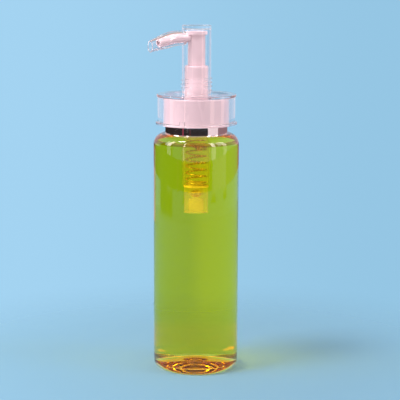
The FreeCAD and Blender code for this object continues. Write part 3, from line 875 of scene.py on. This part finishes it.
def make_floor():
    """Pale blue floor that fades into the backdrop, with the oil's golden light painted into its
    colour.
    """
    build = bmesh.new()
    bmesh.ops.create_circle(build, cap_ends=True, segments=FLOOR_SIDES, radius=FLOOR_R)
    material, tree, surface = bare_material("studio_paper")
    place = tree.nodes.new("ShaderNodeTexCoord").outputs["Object"]
    path = tree.nodes.new("ShaderNodeLightPath").outputs
    through = path["Is Transmission Ray"]
    folded = combine(tree, "MULTIPLY", through, path["Glossy Depth"])
    straight = combine(tree, "MAXIMUM", path["Is Camera Ray"], through)
    straight = combine(tree, "SUBTRACT", straight, folded)
    distance = measure(tree, place, "LENGTH")
    far = ramp(tree, distance, *FLOOR_FAR)
    near = ramp(tree, distance, *FLOOR_NEAR)
    fade = mix(tree, straight, far, near)
    across = measure(tree, place, "DOT_PRODUCT", image_right)
    # Floor darker to the right: painted shade
    colour = mix(tree, ramp(tree, across, -FLOOR_SPREAD, FLOOR_SPREAD), FLOOR_LEFT, FLOOR_RIGHT_SHADED)
    colour = mix(tree, path["Is Diffuse Ray"], colour, FLOOR_BOUNCE)
    # Painted golden light on the floor under the foot
    colour = mix(tree, ramp(tree, distance, foot_out_r, foot_in_r), colour, FLOOR_UNDER_PAINTED_LIGHT)
    # Painted golden light on the floor near the bottle, for rays folded inside it
    golden = combine(tree, "MULTIPLY", folded, ramp(tree, path["Ray Length"], *GOLDEN_REACH))
    colour = mix(tree, golden, colour, FLOOR_PAINTED_GOLDEN_LIGHT)
    # Painted spots of golden light on the floor behind the bottle, seen through it
    close = combine(tree, "MULTIPLY", through, ramp(tree, path["Ray Length"], *SPOT_REACH))
    for right, back, size, strength in PAINTED_LIGHT_SPOTS:
        away = measure(tree, place, "DISTANCE", image_right * right - toward_camera * back)
        spot = ramp(tree, away, size, size * SPOT_CORE, end=strength)
        colour = mix(tree, combine(tree, "MULTIPLY", close, spot), colour, FLOOR_PAINTED_SPOT_LIGHT)
    paper = tree.nodes.new("ShaderNodeBsdfDiffuse")
    tree.links.new(colour, paper.inputs["Color"])
    air = tree.nodes.new("ShaderNodeBsdfTransparent")
    tree.links.new(mix_shaders(tree, fade, paper.outputs["BSDF"], air.outputs["BSDF"]), surface)
    stage_piece("studio_floor", plain_mesh("studio_floor", build), material)


def make_card(name, bearings, radius, colour, strength, heights, full_z=None):
    """Curved card that only shiny surfaces see; it brightens from its lower edge up to full_z."""
    start, end = bearings
    build = bmesh.new()
    steps = max(2, int(abs(end - start) / CARD_STEP))
    rows = []
    for step in range(steps + 1):
        spot = bearing(start + (end - start) * step / steps) * radius
        rows.append([build.verts.new((spot.x, spot.y, z)) for z in heights])
    for first, last in zip(rows, rows[1:]):
        build.faces.new([first[0], last[0], last[1], first[1]])
    material, tree, surface = bare_material(name)
    glow = tree.nodes.new("ShaderNodeEmission")
    glow.inputs["Color"].default_value = (*colour, 1)
    glow.inputs["Strength"].default_value = strength
    if full_z:
        rise = ramp(tree, own_height(tree), heights[0], full_z, end=strength)
        tree.links.new(rise, glow.inputs["Strength"])
    tree.links.new(glow.outputs["Emission"], surface)
    unseen_by = ("camera", "diffuse", "transmission", "volume_scatter", "shadow")
    stage_piece(name, plain_mesh(name, build), material, unseen_by)


def make_strip(side, bearings, low_strength, high_strength):
    """Tall bright strip in two parts, for a streak on the bottle."""
    make_card(
        "strip_low_" + side, bearings, STRIP_R, STRIP_COLOUR, low_strength,
        STRIP_LOW_HEIGHTS, STRIP_LOW_FULL,
    )
    make_card(
        "strip_high_" + side, bearings, STRIP_R, STRIP_COLOUR, high_strength,
        STRIP_HIGH_HEIGHTS, STRIP_HIGH_FULL,
    )


def make_lamp(name, degrees, elevation, size, power):
    """Soft lamp aimed at the middle of the bottle."""
    target = UP * cad_high.z * LAMP_AIM
    rise = math.radians(elevation)
    direction = bearing(degrees) * math.cos(rise) + UP * math.sin(rise)
    light = bpy.data.lights.new(name, "AREA")
    light.shape = "RECTANGLE"
    light.size, light.size_y = size
    light.energy = power
    lamp = bpy.data.objects.new(name, light)
    lamp.location = target + direction * LAMP_DISTANCE
    lamp.rotation_euler = (-direction).to_track_quat("-Z", "Y").to_euler()
    lamp.visible_camera = False
    bpy.context.scene.collection.objects.link(lamp)


def make_shadow(name, corners, tint):
    """Tinted shadow on the floor: a stand-in that only shadows see."""
    material, tree, surface = bare_material(name)
    veil = tree.nodes.new("ShaderNodeBsdfTransparent")
    veil.inputs["Color"].default_value = (*tint, 1)
    tree.links.new(veil.outputs["BSDF"], surface)
    unseen_by = ("camera", "diffuse", "glossy", "transmission", "volume_scatter")
    stage_piece(name, turned(name, rounded(corners)), material, unseen_by)


def make_camera():
    """Camera on a level circle round the bottle, then turned down, aside and about its axis."""
    pitch = math.radians(CAMERA_PITCH)
    yaw = math.radians(CAMERA_YAW)
    roll = math.radians(CAMERA_ROLL)
    level = math.cos(pitch)
    ahead = Vector((math.sin(yaw) * level, math.cos(yaw) * level, -math.sin(pitch)))
    right = ahead.cross(UP).normalized()
    upward = right.cross(ahead)
    right, upward = (
        right * math.cos(roll) + upward * math.sin(roll),
        upward * math.cos(roll) - right * math.sin(roll),
    )
    turn = Matrix.Rotation(azimuth, 3, "Z")
    place = turn @ Vector((0, -CAMERA_DISTANCE, CAMERA_HEIGHT))
    axes = turn @ Matrix((right, upward, -ahead)).transposed()
    data = bpy.data.cameras.new("camera")
    data.sensor_width = SENSOR_WIDTH
    data.lens = FOCAL_PX / IMAGE_PX * SENSOR_WIDTH
    data.clip_start = CAMERA_CLIP
    camera = bpy.data.objects.new("camera", data)
    camera.matrix_world = Matrix.Translation(place) @ axes.to_4x4()
    bpy.context.scene.collection.objects.link(camera)
    bpy.context.scene.camera = camera


make_world()
make_floor()
for card in CARDS:
    make_card(*card)
for strip in STRIPS:
    make_strip(*strip)
for name, bearings in PANELS:
    make_card(name, bearings, CARD_R, PANEL_COLOUR, strength=1.0, heights=PANEL_HEIGHTS)
for lamp in LAMPS:
    make_lamp(*lamp)
make_shadow(
    "oil_shade",
    [(0, SHADOW_FOOT), (inside_r, SHADOW_FOOT, BASE_ROUND), (inside_r, oil_z), (0, oil_z)],
    SHADOW_TINT,
)
make_shadow(
    "heel_shade",
    [
        (foot_out_r, SHADOW_FOOT), (inside_r, HEEL_WALL),
        (inside_r, HEEL_TOP), (foot_out_r, HEEL_TOP),
    ],
    HEEL_TINT,
)
make_camera()

scene = bpy.context.scene
scene.view_settings.view_transform = "Standard"
scene.cycles.max_bounces = BOUNCES
scene.cycles.transmission_bounces = BOUNCES
scene.cycles.glossy_bounces = BOUNCES
scene.cycles.transparent_max_bounces = TRANSPARENT_BOUNCES
